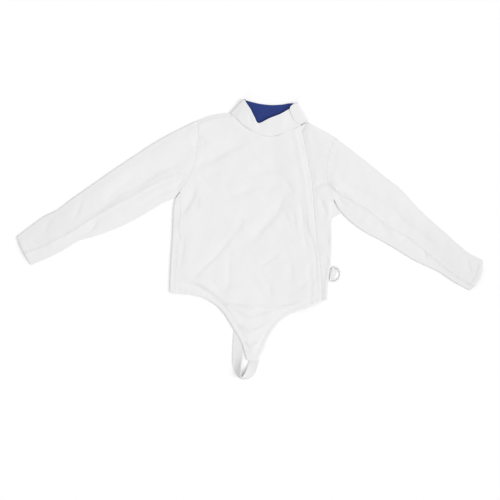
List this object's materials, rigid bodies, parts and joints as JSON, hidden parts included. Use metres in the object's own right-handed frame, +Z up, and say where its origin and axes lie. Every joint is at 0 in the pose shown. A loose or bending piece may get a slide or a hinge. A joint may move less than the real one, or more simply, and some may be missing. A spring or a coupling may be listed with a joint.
{
  "type": "fencing jacket",
  "caption": "White fencing jacket laid flat, front up: side zip under a fly, stand collar with blue lining, crotch tongue with elastic loop, D-ring at the hip.",
  "frame": {"origin": "middle of the jacket's outline, on the surface that it lies on", "axes": "+X towards the wearer's left arm, +Y up the jacket towards the collar, +Z up from the surface, out of the front"},
  "size_m": [1.3988, 0.8428, 0.0301],
  "materials": {
    "white_cotton": "dense matt white cotton twill",
    "blue_lining": "matt royal blue lining",
    "white_elastic": "ribbed white elastic",
    "white_tape": "white woven tape",
    "nickel_plated_steel": "nickel plated steel wire"
  },
  "bodies": {
    "jacket": {"back": "white_cotton", "collar": "white_cotton", "collar_flap": "white_cotton", "collar_lining": "blue_lining", "crotch_strap": "white_elastic", "front_left": "white_cotton", "front_right": "white_cotton", "front_zip": "white_tape", "ring_tab": "white_tape", "sleeve_left_top": "white_cotton", "sleeve_left_under": "white_cotton", "sleeve_right_top": "white_cotton", "sleeve_right_under": "white_cotton"},
    "ring": {"d_ring": "nickel_plated_steel"}
  },
  "joints": [
    {"name": "ring_hinge", "type": "hinge", "parent": "jacket", "child": "ring", "pos_m": [0.24465, -0.10308, 0.00381], "axis": [-0.2334, -0.9724, 0], "range_deg": [0, 140]}
  ]
}
